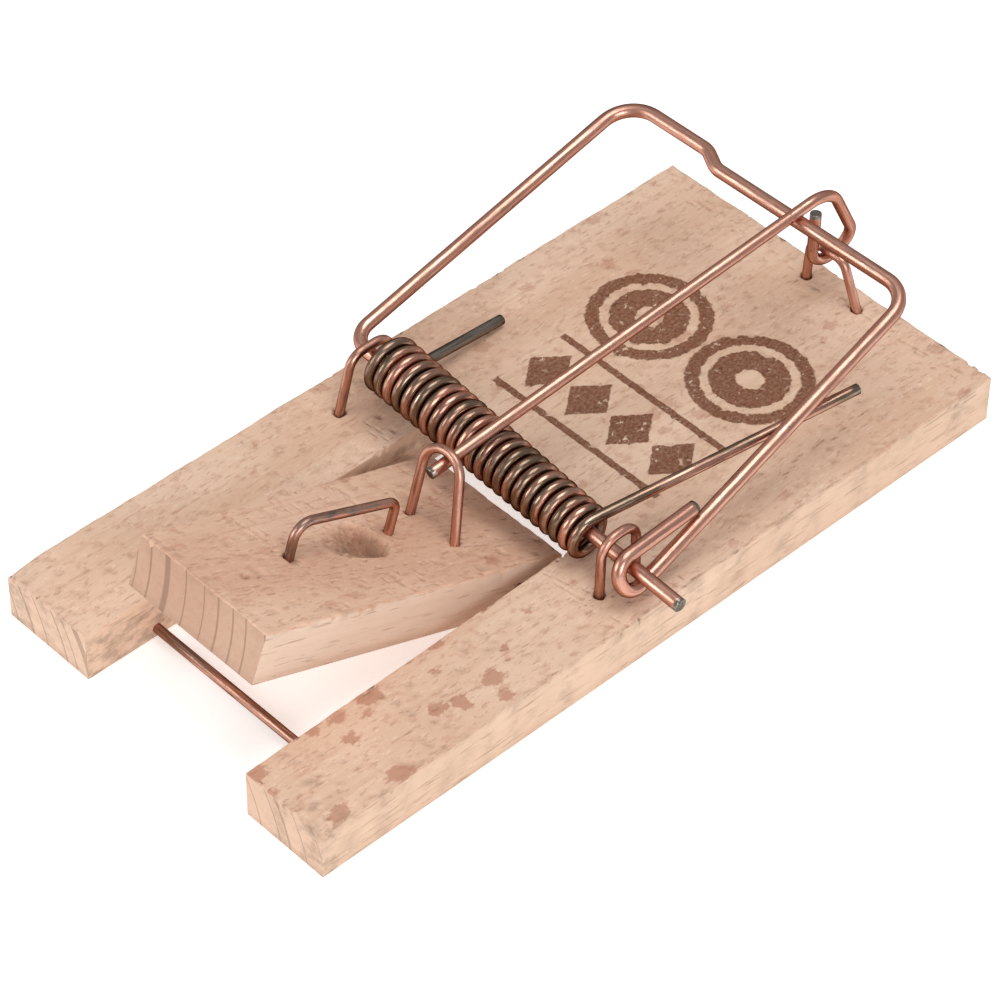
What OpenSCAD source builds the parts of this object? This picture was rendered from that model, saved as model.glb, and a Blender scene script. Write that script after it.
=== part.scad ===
// Snap mouse trap in its set position.
// X runs across the board, Y towards its back edge and Z up. All sizes are in millimetres.
// The origin lies on the underside, mid way across, under the solid half behind the slot.

/* [Board] */
// Width of the board
board_w = 48; // [46:1:52]
// Length of the board
board_l = 95; // [94:1:100]
// Thickness of the board and of the treadle
board_t = 6; // [5.8:0.1:6.4]
// Place of the slot's left wall
slot_left = -11.6; // [-13:0.1:-11]
// Place of the slot's right wall at its closed end
slot_right = 12.1; // [12:0.1:13]
// Widening of the slot towards its mouth
slot_flare = 0.8; // [0:0.1:1.5]
// Place of the slot's closed end
slot_end = 1.5; // [0:0.1:3]

/* [Treadle] */
// Tilt of the treadle when the trap is set
treadle_tilt = 21; // [18:0.5:22]
// Reach of the treadle in front of its pin
treadle_front = 36; // [32:0.5:36.5]
// Reach of the treadle behind its pin
treadle_back = 5.5; // [4:0.1:6]
// Width of the treadle at its front end
treadle_front_w = 18.6; // [17:0.1:20]
// Width of the treadle at its back end
treadle_back_w = 20.2; // [18:0.1:21]
// Middle of the treadle across the board
treadle_x = 0.5; // [0:0.1:0.8]
// Width of the scooped bait hole
bait_hole_d = 7.6; // [6:0.1:8]
// Slant of the bait hole to the treadle's face
bait_hole_slant = 22; // [18:1:30]

/* [Wires] */
// Wire of the hammer
hammer_wire = 1.55; // [1.4:0.05:1.6]
// Wire of the hold-down bar
bar_wire = 1.3; // [1.1:0.05:1.4]
// Wire of the staples
staple_wire = 1.05; // [0.9:0.05:1.1]
// Wire of the treadle pin and the stop
pin_wire = 1.2; // [1:0.1:1.3]
// Play around a wire that sits in a drilled hole
hole_play = 0.03; // [0.02:0.01:0.05]

/* [Hammer] */
// Height of the hammer's axle above the underside, at mid board
axle_z = 10.65; // [10.4:0.05:11]
// Place of the axle along the board, at mid board
axle_y = -2.8; // [-3.2:0.1:-2.4]
// Turn of the axle seen from above
axle_skew = 1.3; // [0:0.1:1.5]
// Fall of the axle towards the eye side
axle_dip = 1.9; // [0.5:0.1:2]
// Angle of the hammer above the board when the trap is set
hammer_set = 12.8; // [12.4:0.1:12.8]
// Reach of the hammer from its axle, at the inner side of the jog
hammer_reach = 41.6; // [41.5:0.1:41.9]

/* [Spring] */
// Wire of the spring
spring_wire = 1.2; // [1:0.05:1.22]
// Number of full turns that the coil is wound with
spring_turns = 23; // [20:1:23]
// Radius of the wire's centre line at the left end of the coil
coil_left_r = 2.85; // [2.7:0.05:2.9]
// Radius of the wire's centre line at the right end of the coil
coil_right_r = 2.35; // [2.3:0.05:2.4]

/* [Hidden] */
// Sizes along Y are laid out from the middle of the board, this far in front of the origin.
board_mid = 25;
$fn = 48;

beech = [0.86, 0.70, 0.56];
beech_side = [0.83, 0.67, 0.53];
copper = [0.70, 0.42, 0.34];
old_copper = [0.55, 0.42, 0.36];

// The treadle's pin lies in the middle of the wood, below the arch.
pin_y = -9;
pin_z = board_t / 2;
pin_reach = 18;
stop_y = -38.5;
stop_z = 1.15;
stop_reach = 19;
stop_d = 1.1;
floor_gap = 0.3;

// Staples: the legs go this deep into the wood, and less deep where the treadle's pin is near.
leg_depth = 4.6;
pin_side_depth = 2.2;
left_staple_x = -18.9;
right_staple_x = 18.9;
crown_z = 12.85;
back_crown_y = 44.8;
back_crown_z = 11.4;

// The two legs of the spring lie at these slopes, seen from the side.
left_leg_slope = 8;
right_leg_slope = 3.7;
coil_left = [-16.4, -2.4, 12.0];
coil_right = [14.7, -2.8, 9.35];
coil_steps = 20;
wire_sides = 8;

/* ---- vectors ---- */

function unit(v) = v / norm(v);
function turn_angle(u, v) = acos(max(-1, min(1, u * v)));

// Direction from point i of a path to the next one.
function along(path, i) = unit(path[i + 1] - path[i]);

// Length of straight wire that the bend at point i takes up on each side.
function bend_take(path, bends, i) = i == 0 || i == len(path) - 1
    ? 0 : bends[i - 1] * tan(turn_angle(along(path, i - 1), along(path, i)) / 2);

/* ---- wire ---- */

// A straight round rod from a to b.
module rod(a, b, d) {
    v = b - a;
    translate(a)
        rotate([0, acos(v[2] / norm(v)), atan2(v[1], v[0])])
            cylinder(h = norm(v), d = d);
}

// A round bend at corner p, from direction u to direction v.
module bend(p, u, v, r, d) {
    axis = unit(cross(u, v));
    inward = cross(axis, u);
    start = p - u * r * tan(turn_angle(u, v) / 2);
    centre = start + inward * r;
    multmatrix([
        [-inward[0], u[0], axis[0], centre[0]],
        [-inward[1], u[1], axis[1], centre[1]],
        [-inward[2], u[2], axis[2], centre[2]],
        [0, 0, 0, 1]])
        rotate_extrude(angle = turn_angle(u, v))
            translate([r, 0]) circle(d = d);
}

// One bent wire through the path's corners, with a bend radius for each inner corner.
// Each straight runs a little way into the bends, and the bends are a hair thinner.
module wire(path, bends, d) {
    last = len(path) - 1;
    for (i = [0 : last - 1]) {
        lap_in = i == 0 ? 0 : bend_lap;
        lap_out = i == last - 1 ? 0 : bend_lap;
        rod(path[i] + along(path, i) * (bend_take(path, bends, i) - lap_in),
            path[i + 1] - along(path, i) * (bend_take(path, bends, i + 1) - lap_out), d);
    }
    for (i = [1 : last - 1])
        bend(path[i], along(path, i - 1), along(path, i), bends[i - 1], d - bend_thinning);
}

/* ---- staple paths ---- */

// A staple's four corners, from one leg's foot over the crown to the other foot.
// foot_a and foot_b are where the legs enter the wood; the legs run on below them.
function staple_path(foot_a, top_a, top_b, foot_b, depth) = [
    foot_a - unit(top_a - foot_a) * depth, top_a, top_b, foot_b - unit(top_b - foot_b) * depth];

left_axle_path = staple_path(
    [left_staple_x, -7.1, board_t], [left_staple_x, -5.2, crown_z],
    [left_staple_x, -0.3, crown_z], [left_staple_x, 1.6, board_t], pin_side_depth);
right_axle_path = staple_path(
    [right_staple_x, -5.7, board_t], [right_staple_x, -5.55, crown_z + 0.2],
    [right_staple_x, -0.75, crown_z + 0.2], [right_staple_x, -0.6, board_t], leg_depth);
back_path = staple_path(
    [-0.65, back_crown_y, board_t], [-0.3, back_crown_y, back_crown_z],
    [4.5, back_crown_y, back_crown_z], [6.85, back_crown_y, board_t], leg_depth);

// The staples of the treadle are laid out on its face, with the pin as their origin.
arch_path = staple_path(
    [-1.5, -5.3, board_t / 2], [-2.05, -5.25, 11.65],
    [2.75, -5.25, 11.65], [4.85, -4.95, board_t / 2], leg_depth);
bait_path = staple_path(
    [0, -24, board_t / 2], [0, -24.2, 6.95],
    [0.55, -10.7, 6.85], [0.55, -10.5, board_t / 2], leg_depth - 1);

crown_bend = 2.1;
arch_bend = 2.45;
bend_lap = 0.06;
bend_thinning = 0.03;

/* ---- frames ---- */

// Sets its children, laid out from the middle of the board, in the part's frame.
module placed() {
    translate([0, -board_mid, 0]) children();
}

// Sets its children in the treadle's own frame: the pin's axis, with the face level.
module at_treadle() {
    placed() translate([0, pin_y, pin_z]) rotate([-treadle_tilt, 0, 0]) children();
}

// Sets its children in the hammer's own frame: X on the axle, Y along the arms.
module at_hammer() {
    placed() translate([0, axle_y, axle_z]) rotate([0, axle_dip, -axle_skew])
        rotate([hammer_set, 0, 0]) children();
}

/* ---- wood ---- */

module board() {
    color(beech) placed() difference() {
        translate([-board_w / 2, -board_l / 2, 0]) cube([board_w, board_l, board_t]);
        translate([0, 0, -1]) linear_extrude(board_t + 2) polygon([
            [slot_left, slot_end], [slot_left, -board_l],
            [slot_right + 2 * slot_flare, -board_l], [slot_right, slot_end]]);
        rod([-board_w, pin_y, pin_z], [pin_reach, pin_y, pin_z], pin_wire + 2 * hole_play);
        rod([-board_w, stop_y, stop_z], [stop_reach, stop_y, stop_z], stop_d + 2 * hole_play);
        for (path = [left_axle_path, right_axle_path, back_path]) {
            staple_hole(path[0], path[1]);
            staple_hole(path[3], path[2]);
        }
    }
}

// The drilled hole of one staple leg, a little deeper than the leg.
module staple_hole(foot, top) {
    rod(foot - unit(top - foot) * 0.2, foot + unit(top - foot) * (leg_depth + 1.5),
        staple_wire + 2 * hole_play);
}

module treadle() {
    half = board_t / 2;
    color(beech_side) difference() {
        at_treadle() difference() {
            translate([treadle_x, 0, -half]) linear_extrude(board_t) polygon([
                [-treadle_front_w / 2, -treadle_front], [treadle_front_w / 2, -treadle_front],
                [treadle_back_w / 2, treadle_back], [-treadle_back_w / 2, treadle_back]]);
            rod([-board_w, 0, 0], [board_w, 0, 0], pin_wire + 0.1);
            bait_hole();
            for (path = [arch_path, bait_path]) {
                staple_hole(path[0], path[1]);
                staple_hole(path[3], path[2]);
            }
        }
        // The underside behind the pin is cut back, so that it lies level when the treadle is up.
        translate([-board_w, -board_l, floor_gap - board_t])
            cube([2 * board_w, 2 * board_l, board_t]);
    }
}

// The bait hole is scooped at a slant, deepest towards the arch, with a round outline.
module bait_hole() {
    intersection() {
        translate([0.5, -12.1, 0.1]) rotate([90 - bait_hole_slant, 0, 0])
            translate([0, bait_hole_d / 2, 0]) cylinder(h = 20, d = bait_hole_d);
        translate([0.5, -11.7 - bait_hole_d / 2, -board_t]) cylinder(h = 20, d = bait_hole_d);
    }
}

/* ---- wires that stay in the board ---- */

module treadle_pin() {
    color(old_copper) placed()
        rod([0.1 - board_w / 2, pin_y, pin_z], [pin_reach - 0.2, pin_y, pin_z], pin_wire);
}

module stop_wire() {
    color(old_copper) placed()
        rod([0.1 - board_w / 2, stop_y, stop_z], [stop_reach - 0.2, stop_y, stop_z], stop_d);
}

module left_axle_staple() {
    color(copper) placed() wire(left_axle_path, [crown_bend, crown_bend], staple_wire);
}

module right_axle_staple() {
    color(copper) placed() wire(right_axle_path, [crown_bend, crown_bend], staple_wire);
}

module back_staple() {
    color(copper) placed() wire(back_path, [1.5, 1.7], staple_wire);
}

/* ---- wires of the treadle ---- */

module arch_staple() {
    color(copper) at_treadle() wire(arch_path, [arch_bend, arch_bend], staple_wire);
}

module bait_staple() {
    color(copper) at_treadle() wire(bait_path, [1.9, 1.1], staple_wire);
}

/* ---- hammer ---- */

// The hammer is one wire: axle, left arm, cross bar with its jog, right arm, eye and tail.
hammer_path = [
    [28.1, 0, 0],
    [-22.3, 0, 0],
    [-24.05, hammer_reach + 0.55, 0],
    [-12.35, hammer_reach + 1.2, 0],
    [-9.85, hammer_reach, 0],
    [17.75, hammer_reach + 1.55, 0],
    [22.2, -2.1, -2.3],
    [20.9, -2.2, 2.2],
    [20.3, 9.5, -0.25]];
hammer_bends = [2.6, 4, 2.5, 2.5, 3.4, 1.95, 1.9];

module hammer() {
    color(copper) at_hammer() wire(hammer_path, hammer_bends, hammer_wire);
}

/* ---- hold-down bar ---- */

// The bar is one wire: latch end, straight bar, and a loop that hangs on the back staple.
bar_path = [
    [0.5, -12, 14],
    [3.5, 42.9, 22.1],
    [2.5, 48.5, 11.9],
    [1.3, 43.2, 9],
    [1.4, 43.2, 17.2]];
bar_bends = [4.4, 2.6, 1.6];

module hold_down_bar() {
    color(copper) placed() wire(bar_path, bar_bends, bar_wire);
}

/* ---- spring ---- */

// The coil's wire starts and ends where it leaves for the two legs.
coil_start = -90 - left_leg_slope;
coil_end = 90 + right_leg_slope - 360 * spring_turns;

function coil_point(t) =
    let (a = coil_start + (coil_end - coil_start) * t,
        r = coil_left_r + (coil_right_r - coil_left_r) * t)
    coil_left + (coil_right - coil_left) * t + [0, r * cos(a), r * sin(a)];

left_leg_end = [-17.5, 15, board_t + 0.7];
right_leg_end = [21, 29.35, 13.75];
spring_path = [
    left_leg_end,
    for (i = [0 : coil_steps * spring_turns]) coil_point(i / (coil_steps * spring_turns)),
    right_leg_end];

// Direction of a path at one of its points, from the points on either side.
function tangent(path, i) = unit(path[min(i + 1, len(path) - 1)] - path[max(i - 1, 0)]);

// A ring of points around the path, with one side facing away from the X axis.
function ring(path, i, r) =
    let (t = tangent(path, i), side = unit(cross(t, [1, 0, 0])), up = cross(t, side))
    [for (k = [0 : wire_sides - 1])
        path[i] + r * (cos(360 * k / wire_sides) * side + sin(360 * k / wire_sides) * up)];

// A tube of flat sides swept along a path of many points.
module tube(path, d) {
    n = wire_sides;
    rings = len(path);
    polyhedron(
        points = [for (i = [0 : rings - 1]) each ring(path, i, d / 2)],
        faces = [
            [for (k = [0 : n - 1]) n - 1 - k],
            [for (k = [0 : n - 1]) (rings - 1) * n + k],
            for (i = [0 : rings - 2], k = [0 : n - 1])
                [i * n + k, i * n + (k + 1) % n, (i + 1) * n + (k + 1) % n],
            for (i = [0 : rings - 2], k = [0 : n - 1])
                [i * n + k, (i + 1) * n + (k + 1) % n, (i + 1) * n + k]]);
}

module spring() {
    color(old_copper) placed() tube(spring_path, spring_wire);
}

board();
treadle();
treadle_pin();
stop_wire();
hammer();
spring();
hold_down_bar();
left_axle_staple();
right_axle_staple();
back_staple();
arch_staple();
bait_staple();
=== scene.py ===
# %% [markdown]
# # A snap mouse trap, dressed for its picture
# The imported part gives every size and place. This lesson adds what a drawing leaves out: grain in the
# beech, worn edges, a scooped bait hole with torn fibres, and wires with a copper wash that has rubbed
# off in places. The first cell loads the frame.

# %%
import bpy
import numpy as np
from mathutils import Matrix


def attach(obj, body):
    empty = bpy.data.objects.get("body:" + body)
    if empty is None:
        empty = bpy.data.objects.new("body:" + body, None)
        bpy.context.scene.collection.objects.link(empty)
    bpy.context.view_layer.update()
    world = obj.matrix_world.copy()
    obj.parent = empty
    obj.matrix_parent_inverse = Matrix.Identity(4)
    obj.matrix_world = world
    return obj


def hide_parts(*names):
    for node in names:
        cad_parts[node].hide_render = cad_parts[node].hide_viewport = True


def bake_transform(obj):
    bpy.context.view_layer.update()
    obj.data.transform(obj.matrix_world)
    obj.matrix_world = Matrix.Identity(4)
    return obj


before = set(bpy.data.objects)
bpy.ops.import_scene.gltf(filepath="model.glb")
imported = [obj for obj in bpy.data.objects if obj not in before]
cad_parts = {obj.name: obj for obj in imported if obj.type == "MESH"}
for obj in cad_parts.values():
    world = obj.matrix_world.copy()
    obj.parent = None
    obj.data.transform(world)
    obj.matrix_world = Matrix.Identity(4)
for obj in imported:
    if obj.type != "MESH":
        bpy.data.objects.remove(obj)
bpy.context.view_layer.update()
MM = 0.001
BOARD_MID = np.array([0.0, -25.0, 0.0])

# %% [markdown]
# ## Meshes from arrays
# Every new piece is a sheet of points worked out by formula. This cell turns such arrays into a mesh
# object, with named values on its points for the materials to read.

# %%
def make_piece(name, points_mm, faces, values, material, smooth=True):
    """Mesh object at the origin from points in millimetres.
    faces is a list of integer arrays, each (count, corners); values maps a name to one number or
    one vector for each point."""
    mesh = bpy.data.meshes.new(name)
    flat = np.concatenate([f.ravel() for f in faces]).astype(np.int32)
    sizes = np.concatenate([np.full(len(f), f.shape[1]) for f in faces])
    starts = np.concatenate([[0], np.cumsum(sizes)[:-1]]).astype(np.int32)
    mesh.vertices.add(len(points_mm))
    mesh.vertices.foreach_set("co", (points_mm * MM).astype(np.float32).ravel())
    mesh.loops.add(len(flat))
    mesh.loops.foreach_set("vertex_index", flat)
    mesh.polygons.add(len(sizes))
    mesh.polygons.foreach_set("loop_start", starts)
    mesh.polygons.foreach_set("use_smooth", np.full(len(sizes), smooth))
    for key, data in values.items():
        data = np.asarray(data, np.float32)
        kind, field = ("FLOAT_VECTOR", "vector") if data.ndim == 2 else ("FLOAT", "value")
        mesh.attributes.new(key, kind, "POINT").data.foreach_set(field, data.ravel())
    mesh.update(calc_edges=True)
    mesh.validate()
    mesh.materials.append(material)
    piece = bpy.data.objects.new(name, mesh)
    bpy.context.scene.collection.objects.link(piece)
    return piece


def unit(v):
    """Vectors along the last axis, each divided by its length."""
    return v / np.linalg.norm(v, axis=-1, keepdims=True)


def turned(degrees, axis):
    """3 by 3 matrix of a turn about X, Y or Z by the right-hand rule."""
    return np.array(Matrix.Rotation(np.radians(degrees), 3, axis))


def ripple(x, y, size, seed, waves=28):
    """Smooth random field of about -1 to 1: the sum of plane waves with random directions and
    phases, each about size long."""
    rng = np.random.default_rng(seed)
    heading, phase = rng.uniform(0, 2 * np.pi, (2, waves))
    pace = 2 * np.pi / size * rng.uniform(0.5, 1.5, waves)
    total = sum(np.sin(pace[k] * (x * np.cos(heading[k]) + y * np.sin(heading[k])) + phase[k])
                for k in range(waves))
    return total / np.sqrt(waves)


def smooth_step(low, high, x):
    """0 below low, 1 above high, and 3t^2 - 2t^3 between them."""
    t = np.clip((x - low) / (high - low), 0, 1)
    return t * t * (3 - 2 * t)


print("mesh tools ready")

# %% [markdown]
# ## A small language for materials
# A material is a graph of nodes. These short functions add one node each and return its output, so
# that a material below reads as a list of steps.

# %%
class Graph:
    def __init__(self, name):
        self.material = bpy.data.materials.new(name)
        self.material.use_nodes = True
        self.tree = self.material.node_tree
        self.tree.nodes.clear()
        self.out = self.tree.nodes.new("ShaderNodeOutputMaterial")

    def put(self, socket, value):
        """Links an output, or sets a constant, on an input socket."""
        if isinstance(value, bpy.types.NodeSocket):
            self.tree.links.new(value, socket)
        else:
            socket.default_value = value

    def attribute(self, name, output="Vector"):
        node = self.tree.nodes.new("ShaderNodeAttribute")
        node.attribute_name = name
        return node.outputs[output]

    def math(self, operation, a, b=0.0, clamp=False):
        node = self.tree.nodes.new("ShaderNodeMath")
        node.operation, node.use_clamp = operation, clamp
        self.put(node.inputs[0], a)
        self.put(node.inputs[1], b)
        return node.outputs[0]

    def vector(self, operation, a, b):
        node = self.tree.nodes.new("ShaderNodeVectorMath")
        node.operation = operation
        self.put(node.inputs[0], a)
        self.put(node.inputs[1], b)
        return node.outputs["Value" if operation == "DISTANCE" else "Vector"]

    def split(self, vector):
        node = self.tree.nodes.new("ShaderNodeSeparateXYZ")
        self.put(node.inputs[0], vector)
        return node.outputs

    def join(self, x, y, z):
        node = self.tree.nodes.new("ShaderNodeCombineXYZ")
        for socket, value in zip(node.inputs, (x, y, z)):
            self.put(socket, value)
        return node.outputs[0]

    def noise(self, vector, stretch, detail=3.0, rough=0.55, distort=0.0):
        """Noise with one cell per 1/stretch along each axis."""
        node = self.tree.nodes.new("ShaderNodeTexNoise")
        self.put(node.inputs["Vector"], self.vector("MULTIPLY", vector, stretch))
        self.put(node.inputs["Scale"], 1.0)
        self.put(node.inputs["Detail"], detail)
        self.put(node.inputs["Roughness"], rough)
        self.put(node.inputs["Distortion"], distort)
        return node.outputs[0]

    def cells(self, vector, stretch):
        """Random cells, one per 1/stretch along each axis, with the distance to the nearest middle."""
        node = self.tree.nodes.new("ShaderNodeTexVoronoi")
        self.put(node.inputs["Vector"], self.vector("MULTIPLY", vector, stretch))
        self.put(node.inputs["Scale"], 1.0)
        return node.outputs

    def step(self, value, low, high, to_low=0.0, to_high=1.0):
        """Smooth step of value between low and high, mapped to to_low and to_high."""
        node = self.tree.nodes.new("ShaderNodeMapRange")
        node.interpolation_type = "SMOOTHSTEP"
        for name, v in (("Value", value), ("From Min", low), ("From Max", high),
                        ("To Min", to_low), ("To Max", to_high)):
            self.put(node.inputs[name], v)
        return node.outputs[0]

    def mix(self, share, a, b, blend="MIX"):
        node = self.tree.nodes.new("ShaderNodeMix")
        node.data_type, node.blend_type = "RGBA", blend
        sockets = [s for s in node.inputs if s.enabled]
        for socket, value in zip(sockets, (share, a, b)):
            if isinstance(value, tuple) and len(value) == 3:
                value = value + (1.0,)
            self.put(socket, value)
        return [s for s in node.outputs if s.enabled][0]

    def bump(self, height, depth_mm):
        """A normal leaned by the slope of height, which stands for depth_mm at 1."""
        node = self.tree.nodes.new("ShaderNodeBump")
        self.put(node.inputs["Height"], height)
        node.inputs["Strength"].default_value = 1.0
        node.inputs["Distance"].default_value = depth_mm * MM
        return node.outputs[0]

    def finish(self, color, rough, metallic=0.0, normal=None, **more):
        node = self.tree.nodes.new("ShaderNodeBsdfPrincipled")
        self.put(node.inputs["Base Color"], color)
        self.put(node.inputs["Roughness"], rough)
        self.put(node.inputs["Metallic"], metallic)
        if normal is not None:
            self.put(node.inputs["Normal"], normal)
        for name, value in more.items():
            self.put(node.inputs[name.replace("_", " ")], value)
        self.tree.links.new(node.outputs[0], self.out.inputs[0])
        return self.material


print("material language ready")

# %% [markdown]
# ## Beech
# Beech is pale pink brown. Its faces show short brown dashes, all along the grain, and here and there
# a larger red-brown fleck. Its sides show finer, longer dashes, and its ends show the year rings as
# dark lines. "wood" holds each point's place in its own plank in millimetres, with the grain along Y,
# and "face" the plank's own outward direction there.

# %%
DARK_BEECH, LIGHT_BEECH, STREAK = (0.700, 0.462, 0.328), (0.805, 0.570, 0.425), (0.600, 0.375, 0.245)
DASH, PALE_WOOD, MOTTLE = (0.47, 0.235, 0.155), (0.90, 0.72, 0.56), (0.56, 0.300, 0.200)
FLECK, SIDE_WOOD, DARK_LINE = (0.43, 0.175, 0.105), (0.80, 0.585, 0.425), (0.40, 0.235, 0.155)
END_WOOD, RING, PORE = (0.70, 0.475, 0.335), (0.33, 0.185, 0.12), (0.46, 0.29, 0.20)
BURNED, GRIME_AND_SHADE, HOLE = (0.175, 0.056, 0.020), (0.30, 0.185, 0.125), (0.15, 0.055, 0.032)
print("wood tones ready")

# %% [markdown]
# ## The figure of the wood
# Each kind of figure is a noise stretched along the grain and cut at a level. The faces, sides and ends
# get their own, told apart by "face". One function makes each, and `beech` lays them over each other.

# %%
def face_figure(g, color, place, own, flat):
    """The colour with the dashes, mottling and flecks of a plank's faces, and the mask of the dashes.
    The right prong has more and larger flecks."""
    dash = g.step(g.noise(place, (2.6, 0.62, 2.6), 2.5, 0.6), 0.585, 0.68)
    color = g.mix(g.math("MULTIPLY", dash, g.math("MULTIPLY", flat, 0.46)), color, DASH)
    pale = g.step(g.noise(place, (3.1, 0.8, 3.1), 2.0, 0.5), 0.60, 0.70)
    color = g.mix(g.math("MULTIPLY", pale, g.math("MULTIPLY", flat, 0.30)), color, PALE_WOOD)
    mottle = g.step(g.noise(place, (1.0, 0.60, 1.0), 4.0, 0.66), 0.52, 0.68)
    color = g.mix(g.math("MULTIPLY", mottle, g.math("MULTIPLY", flat, 0.50)), color, MOTTLE)

    x, y, _ = g.split(own)
    prong = g.math("MULTIPLY", g.step(x, 8.0, 14.0), g.step(y, 4.0, -8.0))
    jagged = g.join(g.noise(place, (1.5, 1.0, 1.5), 4.0, 0.7), g.noise(place, (1.3, 0.8, 1.3), 4.0, 0.7), 0.0)
    spot = g.cells(g.vector("ADD", place, g.vector("MULTIPLY", jagged, (2.2, 3.0, 0.0))), (0.30, 0.25, 0.05))
    chance = g.split(spot["Color"])[0]
    reach = g.math("ADD", g.step(chance, 0.25, 1.0, -0.03, 0.28), g.math("MULTIPLY", prong, 0.15))
    fleck = g.step(g.math("SUBTRACT", spot["Distance"], reach), 0.05, -0.06)
    more = g.math("ADD", 0.38, g.math("MULTIPLY", prong, 0.26))
    return g.mix(g.math("MULTIPLY", fleck, g.math("MULTIPLY", flat, more)), color, FLECK), dash


def side_lines(g, color, place, side):
    """The colour with the long fine lines of a plank's sides, and the mask of the lines."""
    line = g.math("MULTIPLY", g.step(g.noise(place, (3.4, 0.20, 3.4), 2.0, 0.55), 0.62, 0.68), side)
    color = g.mix(g.math("MULTIPLY", side, 0.45), color, SIDE_WOOD)
    return g.mix(g.math("MULTIPLY", line, 0.55), color, DARK_LINE), line


def year_rings(g, color, place, own, end, seed):
    """The colour with the year rings and pores of a plank's ends. A ring is where
    0.42 (x + 0.035 (z + 2.5)^2) plus a slow drift passes a half."""
    x, _, z = g.split(own)
    bow = g.math("ADD", x, g.math("MULTIPLY", g.math("POWER", g.math("ADD", z, 2.5), 2.0), 0.035))
    drift = g.noise(g.join(bow, 0.0, seed * 3.3), (0.30, 1.0, 1.0), 2.0, 0.5)
    count = g.math("ADD", g.math("MULTIPLY", bow, 0.42), g.math("MULTIPLY", drift, 2.0))
    away = g.math("ABSOLUTE", g.math("SUBTRACT", g.math("FRACT", g.math("ADD", count, 50.0)), 0.5))
    dark_ring = g.math("MULTIPLY", g.step(away, 0.085, 0.02), end)
    color = g.mix(g.math("MULTIPLY", end, 0.35), color, END_WOOD)
    color = g.mix(g.math("MULTIPLY", dark_ring, 0.62), color, RING)
    pores = g.step(g.noise(place, (5.5, 5.5, 5.5), 2.0), 0.60, 0.72)
    return g.mix(g.math("MULTIPLY", g.math("MULTIPLY", pores, end), 0.30), color, PORE)


def beech(name, tint, painted_side_light, painted_end_shade, burned, seed):
    """Wood material. The tints multiply the colour everywhere, on the long sides and on the ends; the side
    tint is painted light that makes the sides paler, and the end tint is painted shade that darkens the ends.
    burned adds the mark burned into the board."""
    g = Graph(name)
    own = g.attribute("wood")
    place = g.vector("ADD", own, (seed * 31.7, seed * 17.3, seed * 5.1))
    side, end, flat = (g.step(g.math("ABSOLUTE", part), 0.55, 0.8) for part in g.split(g.attribute("face")))

    broad = g.noise(place, (0.09, 0.03, 0.09), 3.0)
    color = g.mix(g.step(broad, 0.35, 0.65), DARK_BEECH, LIGHT_BEECH)
    streak = g.noise(place, (1.5, 0.05, 1.5), 5.0, 0.6, 0.2)
    color = g.mix(g.step(streak, 0.45, 0.75, 0.0, 0.45), color, STREAK)
    color, dash = face_figure(g, color, place, own, flat)
    color, line = side_lines(g, color, place, side)
    color = year_rings(g, color, place, own, end, seed)

    color = g.mix(1.0, color, tint, "MULTIPLY")
    # Painted light on the long sides and painted shade on the ends, wherever these tints are not 1.
    color = g.mix(side, color, painted_side_light, "MULTIPLY")
    color = g.mix(end, color, painted_end_shade, "MULTIPLY")
    char = 0.0
    if burned:
        char = burned_mark(g, own, place)
        soot = g.step(g.noise(place, (3.2, 2.4, 1.0), 3.0, 0.65), 0.30, 0.72, 1.0, 0.76)
        color = g.mix(g.math("MULTIPLY", char, soot), color, BURNED)
    # Grime on worn edges and corners; on the board slot's left wall the same mix is painted shade.
    grime_and_shade_patches = g.step(g.noise(place, (0.8, 0.5, 0.8), 4.0, 0.65), 0.38, 0.66, 0.1, 0.75)
    color = g.mix(g.math("MULTIPLY", g.attribute("worn", "Fac"), grime_and_shade_patches), color, GRIME_AND_SHADE)
    # Hole colour: dark round the staple legs, and painted shade deepening down the bait hole.
    color = g.mix(g.attribute("hole", "Fac"), color, HOLE)

    relief = g.math("ADD", g.math("MULTIPLY", streak, 0.5), g.math("MULTIPLY", dash, -0.35))
    relief = g.math("ADD", relief, g.math("MULTIPLY", g.noise(place, (6.0, 1.6, 6.0), 3.0), 0.5))
    sunk = g.math("ADD", g.math("MULTIPLY", line, 0.4), g.math("MULTIPLY", char, 0.8) if burned else 0.0)
    normal = g.bump(g.math("SUBTRACT", relief, sunk), 0.05)
    return g.finish(color, g.step(streak, 0.3, 0.8, 0.52, 0.68), 0.0, normal, Specular_IOR_Level=0.28)


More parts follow.
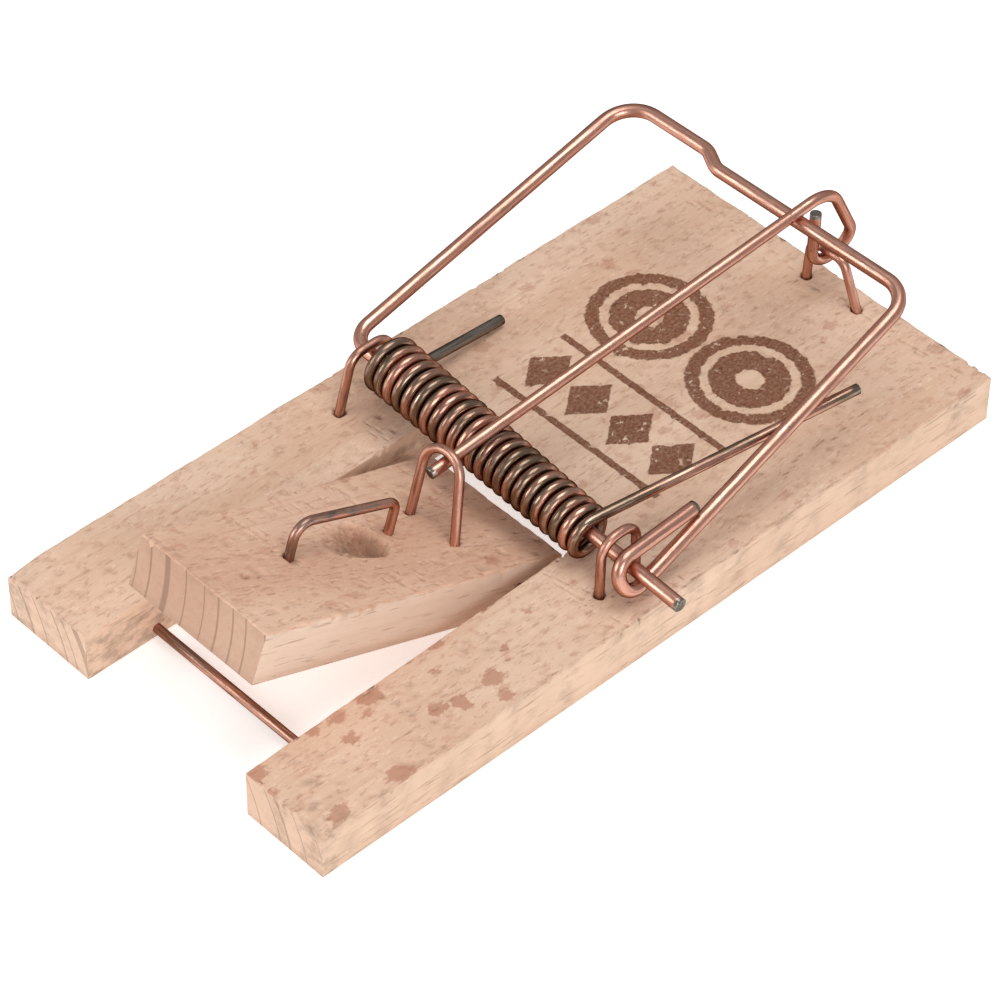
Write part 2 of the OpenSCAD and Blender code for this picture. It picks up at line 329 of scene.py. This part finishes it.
def burned_mark(g, own, place):
    """Mask of a plain ornament: two ringed discs above a row of diamonds between two thin lines."""
    wobble = g.math("MULTIPLY", g.math("SUBTRACT", g.noise(place, (1.3, 1.3, 1.0), 3.0), 0.5), 0.9)
    x, y, z = g.split(own)
    marks = []
    for cx, cy, radius in ((-7.6, 27.6, 7.0), (6.8, 28.4, 7.0)):
        away = g.math("ADD", g.vector("DISTANCE", g.join(x, y, 0.0), (cx, cy, 0.0)), wobble)
        disc = g.step(away, radius + 0.12, radius - 0.12)
        gap = g.math("MULTIPLY", g.step(away, radius * 0.62, radius * 0.62 + 0.2),
                     g.step(away, radius * 0.76 + 0.2, radius * 0.76))
        eye = g.step(away, radius * 0.22 + 0.1, radius * 0.22 - 0.1)
        marks.append(g.math("SUBTRACT", g.math("SUBTRACT", disc, gap), eye, True))
    for cx in (-8.8, -2.6, 3.6, 9.8):
        lozenge = g.math("ADD", g.math("MULTIPLY", g.math("ABSOLUTE", g.math("SUBTRACT", x, cx)), 1.25),
                         g.math("ABSOLUTE", g.math("SUBTRACT", y, 13.6)))
        marks.append(g.step(g.math("ADD", lozenge, wobble), 3.6, 3.3))
    for cy in (8.6, 18.6):
        bar = g.math("ABSOLUTE", g.math("SUBTRACT", y, cy))
        inside = g.step(g.math("ABSOLUTE", g.math("SUBTRACT", x, 0.5)), 12.4, 12.2)
        marks.append(g.math("MULTIPLY", g.step(g.math("ADD", bar, g.math("MULTIPLY", wobble, 0.4)),
                                               0.50, 0.36), inside))
    total = marks[0]
    for mark in marks[1:]:
        total = g.math("MAXIMUM", total, mark)
    top = g.step(z, 5.5, 5.8)
    missed = g.step(g.noise(place, (1.1, 0.8, 1.0), 5.0, 0.7), 0.66, 0.60)
    return g.math("MULTIPLY", g.math("MULTIPLY", total, top), missed)


board_wood = beech("board_beech", (1.0, 1.0, 1.0), (1.0, 1.0, 1.0), (1.0, 1.0, 1.0), True, 1.0)
# On the treadle, the side tint is painted light on its long sides and the end tint is painted shade on its
# ends.
treadle_wood = beech("treadle_beech", (1.0, 0.92, 0.89), (1.03, 1.16, 1.28), (0.78, 0.76, 0.76), False, 2.0)
print("wood materials:", board_wood.name, treadle_wood.name)

# %% [markdown]
# ## Copper-washed wire
# The wires are steel drawn through a die, with a thin wash of copper. The wash is pink where it is
# whole, brown where it has tarnished, and gone at cut ends. Pale streaks along it are painted highlights.
# "lay" holds the distance along the wire in millimetres and the cosine and sine of the angle around it,
# so streaks run along the wire and meet round the back. "bare" is 1 where the steel shows.

# %%
def copper_wire(name, tarnish, seed, rough=0.30, brown=(0.265, 0.145, 0.105)):
    """Metal with lengthwise streaks, the pale ones painted highlights. tarnish, from 0 to 1, is the share
    that has gone brown.
    """
    g = Graph(name)
    lay = g.vector("ADD", g.attribute("lay"), (seed * 57.0, 0.0, seed * 9.0))
    broad = g.noise(lay, (0.11, 0.55, 0.55), 4.0, 0.6)
    color = g.mix(g.step(broad, 0.66 - 0.34 * tarnish, 0.86 - 0.34 * tarnish), (0.640, 0.330, 0.245), brown)
    streak = g.noise(lay, (0.25, 2.6, 2.6), 4.0, 0.65)
    color = g.mix(g.step(streak, 0.52, 0.72, 0.0, 0.55), color, (0.170, 0.105, 0.080))
    # Painted highlight: pale streaks along the wire stand in for reflected light.
    painted_highlight = g.noise(lay, (0.18, 3.4, 3.4), 3.0, 0.6)
    color = g.mix(g.step(painted_highlight, 0.56, 0.74, 0.0, 0.65), color, (0.86, 0.66, 0.56))
    spot = g.noise(lay, (1.6, 1.9, 1.9), 3.0, 0.6)
    color = g.mix(g.step(spot, 0.66, 0.76, 0.0, 0.75), color, (0.075, 0.052, 0.045))
    bare = g.attribute("bare", "Fac")
    rub = g.noise(lay, (0.5, 1.2, 1.2), 4.0, 0.65)
    share = g.step(g.math("ADD", bare, g.math("MULTIPLY", g.math("SUBTRACT", rub, 0.5), 0.8)), 0.35, 0.6)
    steel = g.mix(g.step(streak, 0.4, 0.7), (0.30, 0.270, 0.235), (0.125, 0.106, 0.088))
    color = g.mix(share, color, steel)
    height = g.math("ADD", streak, g.math("MULTIPLY", spot, 0.8))
    roughness = g.step(streak, 0.35, 0.75, rough - 0.06, rough + 0.16)
    return g.finish(color, roughness, 1.0, g.bump(height, 0.02), Specular_Tint=(0.10, 0.06, 0.05, 1.0))


copper = copper_wire("copper_wash", 0.25, 1.0)
copper_staple = copper_wire("copper_wash_staples", 0.45, 2.0)
copper_spring = copper_wire("copper_wash_spring", 0.86, 3.0, 0.25, (0.225, 0.158, 0.110))
copper_pin = copper_wire("copper_wash_pins", 0.85, 4.0, 0.36)
print("wire materials:", copper.name, copper_staple.name, copper_spring.name, copper_pin.name)

# %% [markdown]
# ## Bent wires
# A wire's middle line is straight between bends and a circle's arc in each bend. The skin is a circle
# carried along that line. This cell makes both, and closes each cut end with a small chamfer.

# %%
def bent_line(corners, bends, arc_steps=14):
    """Points along a line through corners: a straight part, then at each inner corner the arc
    centre + r (cos a e1 + sin a e2) that touches both straight parts."""
    corners = np.asarray(corners, float)
    way = unit(np.diff(corners, axis=0))
    line = [corners[:1]]
    for i, r in enumerate(bends, start=1):
        u, v = way[i - 1], way[i]
        turn = np.arccos(np.clip(u @ v, -1, 1))
        inward = np.cross(unit(np.cross(u, v)), u)
        start = corners[i] - u * r * np.tan(turn / 2)
        a = np.linspace(0, turn, arc_steps)[:, None]
        line.append(start + inward * r + r * (np.sin(a) * u - np.cos(a) * inward))
    line.append(corners[-1:])
    line = np.concatenate(line)
    gap = np.linalg.norm(np.diff(line, axis=0), axis=1)
    line = line[np.concatenate([[True], gap > 1e-4])]
    gap = np.linalg.norm(np.diff(line, axis=0), axis=1)
    parts = np.maximum(1, np.ceil(gap / 0.7)).astype(int)
    share = np.concatenate([np.arange(k) / k for k in parts] + [[0.0]])
    start = np.concatenate([np.repeat(np.arange(len(parts)), parts), [len(line) - 1]])
    return line[start] + share[:, None] * (line[np.minimum(start + 1, len(line) - 1)] - line[start])


def swept(name, line, diameter, material, bare=None, sides=24):
    """Skin p(s, a) = line(s) + r(s) (cos a side(s) + sin a up(s)), with side carried along without
    twist. The radius falls to 0.82 r at the cut ends, which are closed by flat faces.
    bare(points) gives the share of bare steel along the line."""
    way = unit(np.gradient(line, axis=0))
    way[0], way[-1] = unit(line[1] - line[0]), unit(line[-1] - line[-2])
    r = diameter / 2
    chamfer = 0.14 * r
    line = np.concatenate([[line[0], line[0] + way[0] * chamfer], line[1:-1],
                           [line[-1] - way[-1] * chamfer, line[-1]]])
    way = np.concatenate([way[:1], way[:1], way[1:-1], way[-1:], way[-1:]])
    radius = np.full(len(line), r)
    radius[[0, -1]] = 0.82 * r
    side = np.zeros_like(line)
    side[0] = unit(np.cross(way[0], np.eye(3)[np.argmin(np.abs(way[0]))]))
    for i in range(1, len(line)):
        side[i] = unit(side[i - 1] - (side[i - 1] @ way[i]) * way[i])
    up = np.cross(way, side)
    a = np.linspace(0, 2 * np.pi, sides, endpoint=False)
    ring = np.cos(a)[None, :, None] * side[:, None] + np.sin(a)[None, :, None] * up[:, None]
    points = line[:, None] + radius[:, None, None] * ring
    along = np.concatenate([[0], np.cumsum(np.linalg.norm(np.diff(line, axis=0), axis=1))])
    n = len(line)
    index = np.arange(n * sides).reshape(n, sides)
    after = np.roll(index, -1, axis=1)
    quads = np.stack([index[:-1], after[:-1], after[1:], index[1:]], -1).reshape(-1, 4)
    lay = np.stack(np.broadcast_arrays(along[:, None], np.cos(a)[None], np.sin(a)[None]), -1)
    steel = np.zeros(n) if bare is None else bare(line)
    steel[[0, -1]] = 1.0
    values = {"lay": lay.reshape(-1, 3), "bare": np.repeat(steel, sides)}
    piece = make_piece(name, points.reshape(-1, 3), [quads, index[:1, ::-1], index[-1:]], values, material)
    rounded = np.arange(len(piece.data.polygons)) < len(quads)
    piece.data.polygons.foreach_set("use_smooth", rounded)
    return piece


def near(line, point, reach):
    """1 within reach of a point, falling to 0 at twice that distance."""
    return 1 - smooth_step(reach, 2 * reach, np.linalg.norm(line - point, axis=1))


print("wire tools ready")

# %% [markdown]
# ## Hammer and hold-down bar
# The hammer is one wire: axle, left arm, cross bar with a small jog, right arm, an eye round the axle,
# and a tail. The bar lies over it and hangs on the back staple by a loop.

# %%
HAMMER_WIRE, BAR_WIRE, STAPLE_WIRE, PIN_WIRE, STOP_WIRE, SPRING_WIRE = 1.55, 1.3, 1.05, 1.2, 1.1, 1.2
hammer_turn = turned(-1.3, "Z") @ turned(1.9, "Y") @ turned(12.8, "X")
axle_at = np.array([0.0, -2.8, 10.65]) + BOARD_MID
hammer_corners = np.array([
    [28.1, 0, 0], [-22.3, 0, 0], [-24.05, 42.15, 0], [-12.35, 42.8, 0], [-9.85, 41.6, 0],
    [17.75, 43.15, 0], [22.2, -2.1, -2.3], [20.9, -2.2, 2.2], [20.3, 9.5, -0.25]])
hammer_line = bent_line(axle_at + hammer_corners @ hammer_turn.T, [2.6, 4, 2.5, 2.5, 3.4, 1.95, 1.9])
hammer = swept("hammer_wire", hammer_line, HAMMER_WIRE, copper,
               lambda p: np.maximum(near(p, hammer_line[0], 0.35), near(p, hammer_line[-1], 0.25)))
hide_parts("hammer")
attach(hammer, "hammer_body")

bar_corners = np.array([[0.5, -12, 14], [3.5, 42.9, 22.1], [2.5, 48.5, 11.9], [1.3, 43.2, 9],
                        [1.4, 43.2, 17.2]]) + BOARD_MID
bar_line = bent_line(bar_corners, [4.4, 2.6, 1.6])
bar = swept("hold_down_wire", bar_line, BAR_WIRE, copper,
            lambda p: np.maximum(near(p, bar_line[0], 0.3), near(p, bar_line[-1], 0.4)))
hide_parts("hold_down_bar")
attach(bar, "bar_body")
print("hammer:", len(hammer.data.vertices), "points; bar:", len(bar.data.vertices), "points")

# %% [markdown]
# ## Staples and pins
# Three staples stand in the board and two in the treadle. The treadle's own frame has its pin at the
# origin and its face level; `on_treadle` sets it into the trap at the treadle's tilt.

# %%
TILT = 21.0
BOARD_T, HALF = 6.0, 3.0
LEG_DEPTH, PIN_SIDE_DEPTH, BAIT_DEPTH = 4.6, 2.2, 3.6
pin_at = np.array([0.0, -9.0, 3.0]) + BOARD_MID


def on_treadle(points):
    """Points of the treadle's own frame, turned by its tilt and moved to its pin."""
    return pin_at + np.asarray(points, float) @ turned(-TILT, "X").T


def staple_line(foot_a, top_a, top_b, foot_b, depth, bends):
    """Line of a staple whose legs run on below their feet by depth."""
    foot_a, top_a, top_b, foot_b = (np.array(p, float) for p in (foot_a, top_a, top_b, foot_b))
    return bent_line([foot_a - unit(top_a - foot_a) * depth, top_a, top_b,
                      foot_b - unit(top_b - foot_b) * depth], bends)


staples = {
    "left_axle_staple": staple_line(
        [-18.9, -7.1, BOARD_T], [-18.9, -5.2, 12.85], [-18.9, -0.3, 12.85], [-18.9, 1.6, BOARD_T],
        PIN_SIDE_DEPTH, [2.1, 2.1]) + BOARD_MID,
    "right_axle_staple": staple_line(
        [18.9, -5.7, BOARD_T], [18.9, -5.55, 13.05], [18.9, -0.75, 13.05], [18.9, -0.6, BOARD_T],
        LEG_DEPTH, [2.1, 2.1]) + BOARD_MID,
    "back_staple": staple_line(
        [-0.65, 44.8, BOARD_T], [-0.3, 44.8, 11.4], [4.5, 44.8, 11.4], [6.85, 44.8, BOARD_T],
        LEG_DEPTH, [1.5, 1.7]) + BOARD_MID,
    "arch_staple": on_treadle(staple_line(
        [-1.5, -5.3, HALF], [-2.05, -5.25, 11.65], [2.75, -5.25, 11.65], [4.85, -4.95, HALF],
        LEG_DEPTH, [2.45, 2.45])),
    "bait_staple": on_treadle(staple_line(
        [0, -24, HALF], [0, -24.2, 6.95], [0.55, -10.7, 6.85], [0.55, -10.5, HALF],
        BAIT_DEPTH, [1.9, 1.1])),
}
for node, line in staples.items():
    rubbed = (lambda p: 0.45 * smooth_step(13.4, 14.4, p[:, 2])) if node == "bait_staple" else None
    piece = swept(node + "_wire", line, STAPLE_WIRE, copper_staple, rubbed, 20)
    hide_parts(node)
    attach(piece, "treadle_body" if node in ("arch_staple", "bait_staple") else "base")

for node, y, z, reach, wire in (("treadle_pin", -9.0, 3.0, 17.8, PIN_WIRE),
                                ("stop_wire", -38.5, 1.15, 18.8, STOP_WIRE)):
    line = np.array([[x, y, z] for x in np.linspace(-23.9, reach, 12)]) + BOARD_MID
    piece = swept(node + "_drawn", line, wire, copper_pin, None, 20)
    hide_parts(node)
    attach(piece, "base")
print("staples and pins:", len(staples) + 2)

# %% [markdown]
# ## Spring
# The coil's wire climbs along a leaning axis while its radius shrinks a little towards the right. Its
# left leg lies on the board and its right leg reaches up to the hammer.

# %%
TURNS, STEPS, LEFT_RADIUS, RIGHT_RADIUS, LEFT_SLOPE, RIGHT_SLOPE = 23, 50, 2.85, 2.35, 8.0, 3.7
coil_left, coil_right = np.array([-16.4, -2.4, 12.0]), np.array([14.7, -2.8, 9.35])
angle = np.radians(np.linspace(-90 - LEFT_SLOPE, 90 + RIGHT_SLOPE - 360 * TURNS, TURNS * STEPS))
t = np.linspace(0, 1, len(angle))[:, None]
coil_radius = LEFT_RADIUS + (RIGHT_RADIUS - LEFT_RADIUS) * t
coil = coil_left + (coil_right - coil_left) * t
coil = coil + coil_radius * np.stack([np.zeros_like(angle), np.cos(angle), np.sin(angle)], -1)
left_end, right_end = np.array([-17.5, 15, 6.7]), np.array([21.0, 29.35, 13.75])
left_leg = left_end + (coil[0] - left_end) * np.linspace(0, 1, 24)[:-1, None]
right_leg = coil[-1] + (right_end - coil[-1]) * np.linspace(0, 1, 30)[1:, None]
spring_line = np.concatenate([left_leg, coil, right_leg]) + BOARD_MID
spring = swept("torsion_spring", spring_line, SPRING_WIRE, copper_spring,
               lambda p: np.maximum(smooth_step(-2, 4, p[:, 1] + 25) * (p[:, 0] < 0),
                                    near(p, spring_line[-1], 0.5)), 18)
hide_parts("spring")
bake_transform(spring)
print("spring:", len(spring.data.vertices), "points,", STEPS, "steps a turn")

# %% [markdown]
# ## Planks
# Board and treadle are cut from the same stock. The top of each is a fine grid whose height falls in a
# quarter circle at the edges, with more wear in some places than in others. A wall hangs from its rim
# and a floor closes it. Grid lines crowd together at edges and round the staple holes.

# %%
EDGE_LINES = np.array([0.0, 0.03, 0.08, 0.15, 0.25, 0.38, 0.55])


def grid_lines(low, high, pace, crowds=()):
    """Rising places from low to high, pace apart, closer at both ends and near the crowds.
    Each crowd is (middle, half width, pace)."""
    lines = [np.linspace(low, high, int(np.ceil((high - low) / pace)) + 1)]
    lines += [low + EDGE_LINES, high - EDGE_LINES]
    for middle, half, fine in crowds:
        lines.append(np.arange(max(low, middle - half), min(high, middle + half), fine))
    merged = np.unique(np.round(np.concatenate(lines), 4))
    at_end = np.minimum(merged - low, high - merged) < 0.6
    keep = np.concatenate([[True], np.diff(merged) > np.where(at_end[1:], 0.025, 0.07)])
    keep[-1] = True
    return merged[keep]


def edge_drop(distance, radius):
    """How far a rounded edge lies below the face: r - sqrt(r^2 - (r - d)^2) for d under r."""
    d = np.clip(distance, 0, radius)
    return radius - np.sqrt(np.maximum(radius ** 2 - (radius - d) ** 2, 0))


def hole_depth(x, y, holes, wire):
    """Depth and darkness of the ragged holes round staple legs."""
    rough = 0.10 * ripple(x, y, 0.9, 5)
    away = np.min([np.hypot(x - hx, y - hy) for hx, hy in holes], axis=0) - wire / 2
    dip = 0.55 * (1 - smooth_step(0.01, 0.14 + rough, away))
    return dip, 0.80 * (1 - smooth_step(0.04, 0.30, away + rough))


def walled(top, rim, floor_z, levels=4):
    """A top's points with rings of points hung from its rim down to floor_z, at even heights.
    Gives the points, their outward directions, the rings' own numbers and the wall's quads."""
    ring = top[rim]
    way = unit((np.roll(ring, -1, axis=0) - np.roll(ring, 1, axis=0))[:, :2])
    out = np.stack([way[:, 1], -way[:, 0], np.zeros(len(ring))], -1)
    rings = np.repeat(ring[None], levels, axis=0)
    share = np.linspace(0, 1, levels + 1)[1:, None]
    rings[:, :, 2] = ring[:, 2] + (floor_z - ring[:, 2]) * share
    hung = len(top) + np.arange(levels * len(rim)).reshape(levels, len(rim))
    chain = np.concatenate([rim[None], hung])
    ahead = np.roll(chain, -1, axis=1)
    wall = np.stack([chain[:-1], chain[1:], ahead[1:], ahead[:-1]], -1).reshape(-1, 4)
    face = np.concatenate([np.tile([0.0, 0.0, 1.0], (len(top), 1)), np.tile(out, (levels, 1))])
    face[rim] = unit(out + [0, 0, 0.6])
    return np.concatenate([top, rings.reshape(-1, 3)]), face, hung, wall


print("plank tools ready")

# %% [markdown]
# ## Board
# The grid runs over the whole board and leaves out the cells of the slot. Its lines lean a little in
# the right prong, because the slot opens towards its mouth.

# %%
W, L, SLOT_L, SLOT_R, SLOT_END, FLARE = 24.0, 47.5, -11.6, 12.1, 1.5, 0.8
board_holes = [(-18.9, -7.1), (-18.9, 1.6), (18.9, -5.7), (18.9, -0.6), (-0.65, 44.8), (6.85, 44.8)]
crowd_x = [(hx, 0.9, 0.11) for hx, _ in board_holes]
crowd_y = [(hy, 0.9, 0.11) for _, hy in board_holes]
xs = np.concatenate([grid_lines(-W, SLOT_L, 0.5, crowd_x), grid_lines(SLOT_L, SLOT_R, 0.6, crowd_x)[1:],
                     grid_lines(SLOT_R, W, 0.5, crowd_x)[1:]])
ys = np.concatenate([grid_lines(-L, SLOT_END, 0.5, crowd_y), grid_lines(SLOT_END, L, 0.5, crowd_y)[1:]])
left, right = int(np.searchsorted(xs, SLOT_L)), int(np.searchsorted(xs, SLOT_R))
back = int(np.searchsorted(ys, SLOT_END))
X, Y = np.meshgrid(xs, ys)
lean = FLARE * (SLOT_END - np.minimum(Y, SLOT_END)) / (L + SLOT_END)
X = X + lean * np.where(X >= SLOT_R, (W - X) / (W - SLOT_R), 0.0)
wall_r = SLOT_R + lean
in_front = Y <= SLOT_END
to_outer = np.minimum(np.minimum(X + W, W - X), np.minimum(Y + L, L - Y))
beside = np.where(X <= SLOT_L, SLOT_L - X, np.where(X >= wall_r - 1e-6, X - wall_r, 0.0))
behind = np.hypot(np.maximum(Y - SLOT_END, 0),
                  np.where((X > SLOT_L) & (X < wall_r), 0.0, np.where(X <= SLOT_L, SLOT_L - X, X - wall_r)))
to_slot = np.where(in_front, beside, behind)
corner_wear = np.exp(-(np.hypot(X + W, Y + L) / 2.2) ** 2)
corner_wear = corner_wear + 0.6 * np.exp(-(np.hypot(X - W, Y + L) / 1.6) ** 2)
edge_radius = np.clip(0.20 + 0.09 * ripple(X, Y, 7, 11) + 0.05 * ripple(X, Y, 1.6, 12), 0.07, 0.5)
edge_radius = np.minimum(edge_radius + 0.3 * corner_wear, 0.55)
drop = edge_drop(to_outer, edge_radius) + edge_drop(to_slot, np.minimum(edge_radius, 0.22))
dip, dark = hole_depth(X, Y, board_holes, STAPLE_WIRE)
Z = BOARD_T - 0.01 - drop - dip - 0.006 * (1 + ripple(X, Y, 5, 13)) - 0.35 * corner_wear * (to_outer < 2.0)
smudge = np.exp(-((X - 20.5) / 3.2) ** 2 - ((Y + 44.5) / 2.6) ** 2)
smudge = smudge * smooth_step(-0.1, 0.7, ripple(X, Y, 2.2, 15))
worn = np.clip((1 - smooth_step(0.05, 0.55, to_outer)) * (0.35 + 0.3 * ripple(X, Y, 4, 14)) + corner_wear
               + 0.9 * smudge, 0, 1)
print("board grid:", X.shape, "lines; lowest top point", round(float(Z.min()), 2), "mm")

# %% [markdown]
# ## The board's skin
# The cells of the slot are left out, and one closed rim runs round the outside and into the slot, so
# that a single wall makes both. The slot's left wall gets painted shade in the grime colour, where the
# treadle shades it. Points that no face uses are dropped.

# %%
rows, cols = X.shape
index = np.arange(rows * cols).reshape(rows, cols)
cells = np.stack([index[:-1, :-1], index[:-1, 1:], index[1:, 1:], index[1:, :-1]], -1)
solid = np.ones((rows - 1, cols - 1), bool)
solid[:back, left:right] = False
rim = np.concatenate([
    index[0, :left + 1], index[1:back, left], index[back, left:right + 1], index[back - 1:0:-1, right],
    index[0, right:], index[1:, -1], index[-1, -2::-1], index[-2:0:-1, 0]])
top = np.stack([X, Y, Z], -1).reshape(-1, 3)
points, face, hung, wall = walled(top, rim, np.zeros(len(rim)))
# Painted shade: the slot's left wall, shaded by the treadle, is darkened with the grime colour through
# "worn".
slot_wall_shade = 0.85 * ((np.abs(top[rim, 0] - SLOT_L) < 0.05) & (top[rim, 1] < SLOT_END))
wall_worn_and_shade = np.tile(np.maximum(worn.reshape(-1)[rim] * 0.7, slot_wall_shade), len(hung))
quads = np.concatenate([cells[solid].reshape(-1, 4), wall])
used = np.zeros(len(points), bool)
used[quads] = True
renumber = np.cumsum(used) - 1
values = {"wood": points[used], "face": face[used],
          "worn": np.concatenate([worn.reshape(-1), wall_worn_and_shade])[used],
          "hole": np.concatenate([dark.reshape(-1), np.zeros(hung.size)])[used]}
board = make_piece("beech_board", points[used] + BOARD_MID,
                   [renumber[quads], renumber[hung[-1:, ::-1]]], values, board_wood)
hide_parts("board")
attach(board, "base")
print("board:", len(board.data.vertices), "points,", len(board.data.polygons), "faces")

# %% [markdown]
# ## Treadle
# The treadle's face carries the scooped bait hole: the side of a drill that came in at a slant, closed
# at the back by the drill's flat end. Torn fibres roughen it.

# %%
FRONT, REAR, MID_X = -36.0, 5.5, 0.5
treadle_holes = [(-1.5, -5.3), (4.85, -4.95), (0.0, -24.0), (0.55, -10.5)]
crowd_x = [(hx, 0.85, 0.10) for hx, _ in treadle_holes] + [(0.5, 4.0, 0.14)]
crowd_y = [(hy, 0.85, 0.10) for _, hy in treadle_holes] + [(-12.2, 0.9, 0.08), (-15.5, 4.2, 0.14)]
across = grid_lines(-9.3, 9.3, 0.5, crowd_x)
CUT = -0.28
lengthwise = np.concatenate([grid_lines(FRONT, CUT, 0.5, crowd_y), grid_lines(CUT, REAR, 0.5, crowd_y)[1:]])
S, U = np.meshgrid(across, lengthwise)
grow = 1 + (10.1 / 9.3 - 1) * (U - FRONT) / (REAR - FRONT)
X = MID_X + S * (1 + (grow - 1) * smooth_step(5, 6, np.abs(S)))
to_edge = np.minimum(np.minimum(S + 9.3, 9.3 - S), np.minimum(U - FRONT, REAR - U))
edge_radius = np.clip(0.20 + 0.08 * ripple(S, U, 6, 21) + 0.05 * ripple(S, U, 1.5, 22), 0.08, 0.5)
slant, bore = np.radians(22), 3.8
offset = np.clip(X - 0.5, -bore, bore)
q = bore - np.sqrt(bore ** 2 - offset ** 2)
s = (-12.1 + np.sin(slant) * q - U) / np.cos(slant)
scoop_floor = 0.1 + np.sin(slant) * s + np.cos(slant) * q
scoop_end = 0.1 + (U + 12.1) / np.tan(slant)
inside = bore - np.hypot(X - 0.5, U + 11.7 + bore) + 0.10 * ripple(X, U, 1.4, 28)
scoop = np.where(inside > 0, np.maximum(scoop_floor, scoop_end), HALF)
scoop = np.maximum(scoop, HALF - np.clip(inside, 0, None) * 9)
torn = 0.20 * ripple(X * 2.4, U * 0.45, 1.3, 23) + 0.10 * ripple(X * 3, U * 0.7, 0.8, 24)
scoop = scoop + torn * smooth_step(0.05, 0.6, HALF - scoop)
depth = np.clip(HALF - scoop, 0, None)
dip, dark = hole_depth(X, U, treadle_holes, STAPLE_WIRE)
Z = HALF - 0.01 - edge_drop(to_edge, edge_radius) - np.maximum(dip, depth) - 0.006 * (1 + ripple(S, U, 5, 25))
in_scoop = smooth_step(0.02, 0.5, depth)
worn = np.clip((1 - smooth_step(0.05, 0.5, to_edge)) * (0.25 + 0.3 * ripple(S, U, 4, 26)), 0, 1)
worn = np.maximum(worn, in_scoop * np.clip(0.45 + 0.35 * ripple(X * 2, U, 1.6, 27), 0, 1))
# Painted shade: the bait hole darkens with its depth, most at its deep back end.
dark = np.maximum(dark, 0.25 * smooth_step(0.4, 2.2, depth) + 0.55 * smooth_step(2.3, 3.6, depth))
print("treadle grid:", X.shape, "lines; bait hole", round(float(depth.max()), 2), "mm deep")

# %% [markdown]
# ## The treadle's skin
# The wall's foot is level up to the cut near the pin and rises behind it, so that the underside lies
# flat when the treadle is up. Two flat faces close it.

# %%
rows, cols = X.shape
index = np.arange(rows * cols).reshape(rows, cols)
cells = np.stack([index[:-1, :-1], index[:-1, 1:], index[1:, 1:], index[1:, :-1]], -1).reshape(-1, 4)
rim = np.concatenate([index[0], index[1:, -1], index[-1, -2::-1], index[-2:0:-1, 0]])
top = np.stack([X, U, Z], -1).reshape(-1, 3)
under = np.maximum(-HALF, -2.892 + 0.3839 * top[rim, 1])
points, face, hung, wall = walled(top, rim, under)
last = hung[-1]
split = int(np.argmin(np.abs(lengthwise - CUT)))
ahead = points[last, 1] <= lengthwise[split] + 1e-6
rear = points[last, 1] >= lengthwise[split] - 1e-6
front_floor = last[ahead][::-1]
start = int(np.argmax(rear))
rear_floor = last[start:start + int(rear.sum())][::-1]
values = {"wood": points, "face": face,
          "worn": np.concatenate([worn.reshape(-1), np.zeros(hung.size)]),
          "hole": np.concatenate([dark.reshape(-1), np.zeros(hung.size)])}
treadle = make_piece("beech_treadle", on_treadle(points),
                     [cells, wall, front_floor[None], rear_floor[None]], values, treadle_wood)
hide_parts("treadle")
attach(treadle, "treadle_body")
print("treadle:", len(treadle.data.vertices), "points,", len(treadle.data.polygons), "faces")

# %% [markdown]
# ## Floor, light and camera
# A pale floor, a large soft light overhead and a softer one from the front, and a long lens from above
# the front right corner.

# %%
floor_look = Graph("pale_floor")
floor_material = floor_look.finish((0.90, 0.90, 0.90, 1.0), 0.9, Emission_Color=(1.0, 1.0, 1.0, 1.0),
                                   Emission_Strength=0.42)
side = 1500.0
corners = np.array([[-side, -side, -0.02], [side, -side, -0.02], [side, side, -0.02], [-side, side, -0.02]])
floor = make_piece("floor", corners, [np.array([[0, 1, 2, 3]])], {}, floor_material, False)


def soft_light(name, place_mm, target_mm, size_mm, power):
    """Square area light at a place, facing a target."""
    data = bpy.data.lights.new(name, "AREA")
    data.shape, data.size, data.energy = "SQUARE", size_mm * MM, power
    lamp = bpy.data.objects.new(name, data)
    bpy.context.scene.collection.objects.link(lamp)
    away = unit(np.array(place_mm, float) - np.array(target_mm, float))
    across_way = unit(np.cross([0.0, 0.0, 1.0], away))
    turn = np.stack([across_way, np.cross(away, across_way), away], 1)
    lamp.matrix_world = Matrix([list(turn[i]) + [place_mm[i] * MM] for i in range(3)] + [[0, 0, 0, 1]])
    return lamp


middle = (0.0, -25.0, 6.0)
soft_light("key", (60, 60, 620), middle, 380, 1.65)
soft_light("right", (430, -230, 240), middle, 260, 0.85)
soft_light("front", (-230, -440, 230), middle, 260, 0.77)

world = bpy.data.worlds.new("studio")
world.use_nodes = True
world.node_tree.nodes["Background"].inputs["Color"].default_value = (1.0, 1.0, 1.0, 1.0)
world.node_tree.nodes["Background"].inputs["Strength"].default_value = 0.41
bpy.context.scene.world = world
bpy.context.scene.view_settings.view_transform = "Standard"

camera_data = bpy.data.cameras.new("camera")
camera_data.lens, camera_data.sensor_width = 150.94, 36.0
camera_data.clip_start, camera_data.clip_end = 0.01, 10.0
camera = bpy.data.objects.new("camera", camera_data)
bpy.context.scene.collection.objects.link(camera)
heading, fall, roll = np.radians([136.393, 44.352, 0.577])
ahead_way = np.array([np.cos(heading) * np.cos(fall), np.sin(heading) * np.cos(fall), -np.sin(fall)])
level_way = unit(np.cross(ahead_way, [0.0, 0.0, 1.0]))
above_way = np.cross(level_way, ahead_way)
right_way = np.cos(roll) * level_way + np.sin(roll) * above_way
up_way = np.cos(roll) * above_way - np.sin(roll) * level_way
place = (np.array([225.854, -216.771, 308.060]) + BOARD_MID) * MM
axes = np.stack([right_way, up_way, -ahead_way, place], 1)
camera.matrix_world = Matrix(axes.tolist() + [[0, 0, 0, 1]])
bpy.context.scene.camera = camera
print("camera at", np.round(place, 4).tolist())
